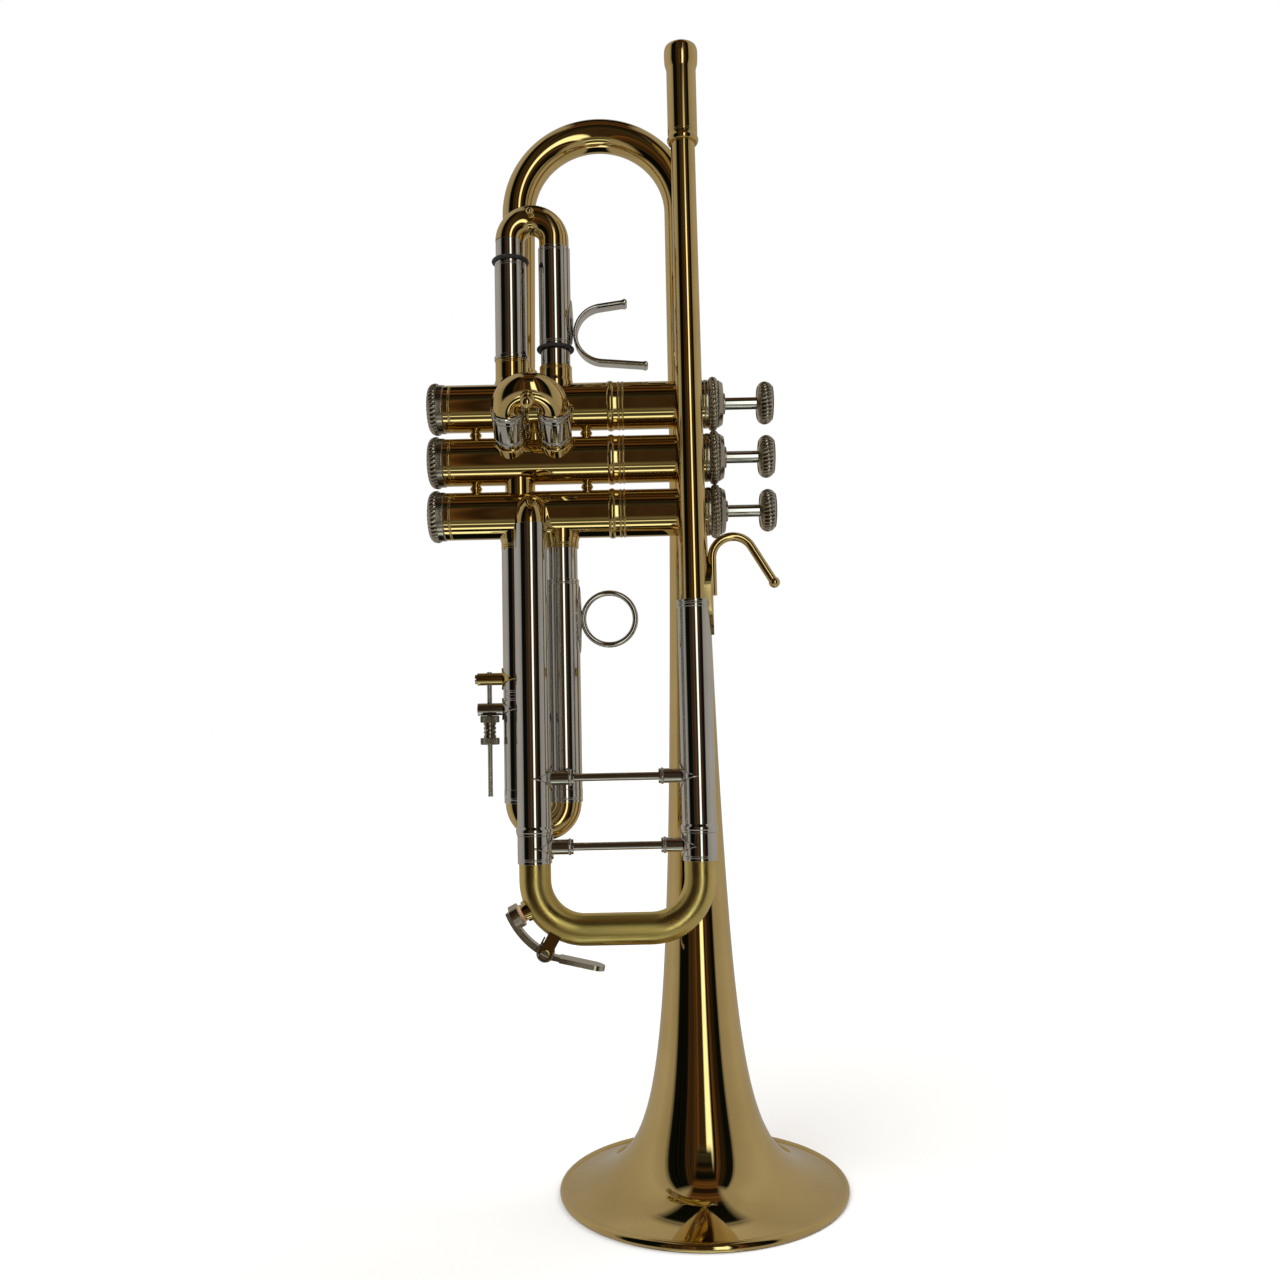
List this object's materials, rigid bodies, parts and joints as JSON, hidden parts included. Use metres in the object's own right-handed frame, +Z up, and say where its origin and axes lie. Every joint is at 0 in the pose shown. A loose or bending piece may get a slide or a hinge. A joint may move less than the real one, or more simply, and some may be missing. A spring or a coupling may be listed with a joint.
{
  "type": "trumpet",
  "caption": "Piston-valve trumpet standing on its bell: flared bell, leadpipe, tuning slide with water key, finger buttons and pull-out valve slides.",
  "frame": {"origin": "centre of the bell rim, in the plane the rim stands on", "axes": "+Z up the bell axis towards the mouthpiece end, +X towards the finger buttons, -Y towards the leadpipe and main tuning slide"},
  "size_m": [0.1718, 0.1222, 0.4822],
  "materials": {
    "lacquered_brass": "polished, lacquered",
    "satin_brass": "satin",
    "nickel_silver": "polished",
    "aged_nickel": "worn plating, knurled edges",
    "piston_nickel": "ground smooth",
    "pearl": "glossy, nacreous",
    "spring_steel": "drawn wire",
    "black_felt": "pressed felt",
    "black_rubber": "matte",
    "cork": "cork, unvarnished",
    "white_nylon": "moulded"
  },
  "bodies": {
    "horn": {"bell": "lacquered_brass", "bell_rim_wire": "lacquered_brass", "bell_braces": "lacquered_brass", "casing_elbows": "lacquered_brass", "mouthpiece_receiver": "lacquered_brass", "leadpipe": "lacquered_brass", "finger_hook": "lacquered_brass", "upper_sleeve": "nickel_silver", "lower_sleeve": "nickel_silver", "sleeve_brace": "nickel_silver", "valve_casing_1": "lacquered_brass", "valve_casing_2": "lacquered_brass", "valve_casing_3": "lacquered_brass", "casing_posts": "lacquered_brass", "valve_knuckles": "lacquered_brass", "bottom_caps": "aged_nickel", "top_caps": "aged_nickel", "cap_felts": "black_felt", "valve_guides": "white_nylon", "slide_ferrules": "lacquered_brass", "first_slide_fixed_tubes": "nickel_silver", "second_slide_fixed_tubes": "nickel_silver", "third_slide_fixed_tubes": "nickel_silver", "stop_rod_post": "lacquered_brass", "stop_rod": "nickel_silver", "stop_rod_screw": "aged_nickel", "slide_bumpers": "black_rubber"},
    "valve_1": {"piston_1": "piston_nickel", "finger_button_1": "aged_nickel", "button_pearl_1": "pearl", "valve_spring_1": "spring_steel"},
    "valve_2": {"piston_2": "piston_nickel", "finger_button_2": "aged_nickel", "button_pearl_2": "pearl", "valve_spring_2": "spring_steel"},
    "valve_3": {"piston_3": "piston_nickel", "finger_button_3": "aged_nickel", "button_pearl_3": "pearl", "valve_spring_3": "spring_steel"},
    "tuning_slide": {"tuning_bow": "satin_brass", "tuning_slide_tubes": "nickel_silver", "tuning_slide_brace": "nickel_silver", "water_key_nipple": "lacquered_brass", "water_key_saddle": "lacquered_brass", "water_key_pin": "aged_nickel", "water_key_spring": "spring_steel"},
    "water_key": {"water_key_lever": "aged_nickel", "water_key_cork": "cork"},
    "first_slide": {"first_slide_crook": "lacquered_brass", "first_slide_tubes": "nickel_silver", "first_slide_knob": "lacquered_brass", "thumb_saddle": "nickel_silver"},
    "second_slide": {"second_slide_crook": "lacquered_brass", "second_slide_tubes": "nickel_silver", "second_slide_knob": "lacquered_brass"},
    "third_slide": {"third_slide_crook": "lacquered_brass", "third_slide_tubes": "nickel_silver", "third_slide_brace": "nickel_silver", "finger_ring": "nickel_silver"},
    "stop_nut_pair": {"stop_nuts": "aged_nickel"}
  },
  "joints": [
    {"name": "valve_1_press", "type": "slide", "parent": "horn", "child": "valve_1", "axis": [-1, 0, 0], "range_m": [0, 0.0135], "stiffness_N_per_m": 60, "springref_m": -0.02, "deforming": ["valve_spring_1"]},
    {"name": "valve_2_press", "type": "slide", "parent": "horn", "child": "valve_2", "axis": [-1, 0, 0], "range_m": [0, 0.0135], "stiffness_N_per_m": 60, "springref_m": -0.02, "deforming": ["valve_spring_2"]},
    {"name": "valve_3_press", "type": "slide", "parent": "horn", "child": "valve_3", "axis": [-1, 0, 0], "range_m": [0, 0.0135], "stiffness_N_per_m": 60, "springref_m": -0.02, "deforming": ["valve_spring_3"]},
    {"name": "tuning_slide_pull", "type": "slide", "parent": "horn", "child": "tuning_slide", "axis": [0, 0, -1], "range_m": [0, 0.025]},
    {"name": "water_key_lift", "type": "hinge", "parent": "tuning_slide", "child": "water_key", "pos_m": [-0.06275, -0.037, 0.10708], "axis": [0, -1, 0], "range_deg": [0, 12]},
    {"name": "first_slide_pull", "type": "slide", "parent": "horn", "child": "first_slide", "axis": [0, 0, 1], "range_m": [0, 0.02]},
    {"name": "second_slide_pull", "type": "slide", "parent": "horn", "child": "second_slide", "axis": [0, -0.7738, 0.6334], "range_m": [0, 0.007]},
    {"name": "third_slide_pull", "type": "slide", "parent": "horn", "child": "third_slide", "axis": [0, 0, -1], "range_m": [0, 0.02]},
    {"name": "stop_nuts_travel", "type": "slide", "parent": "horn", "child": "stop_nut_pair", "axis": [0, 0, -1], "range_m": [0, 0.02]}
  ],
  "couplings": [
    {"joint": "stop_nuts_travel", "follows": "third_slide_pull", "ratio": 1}
  ]
}
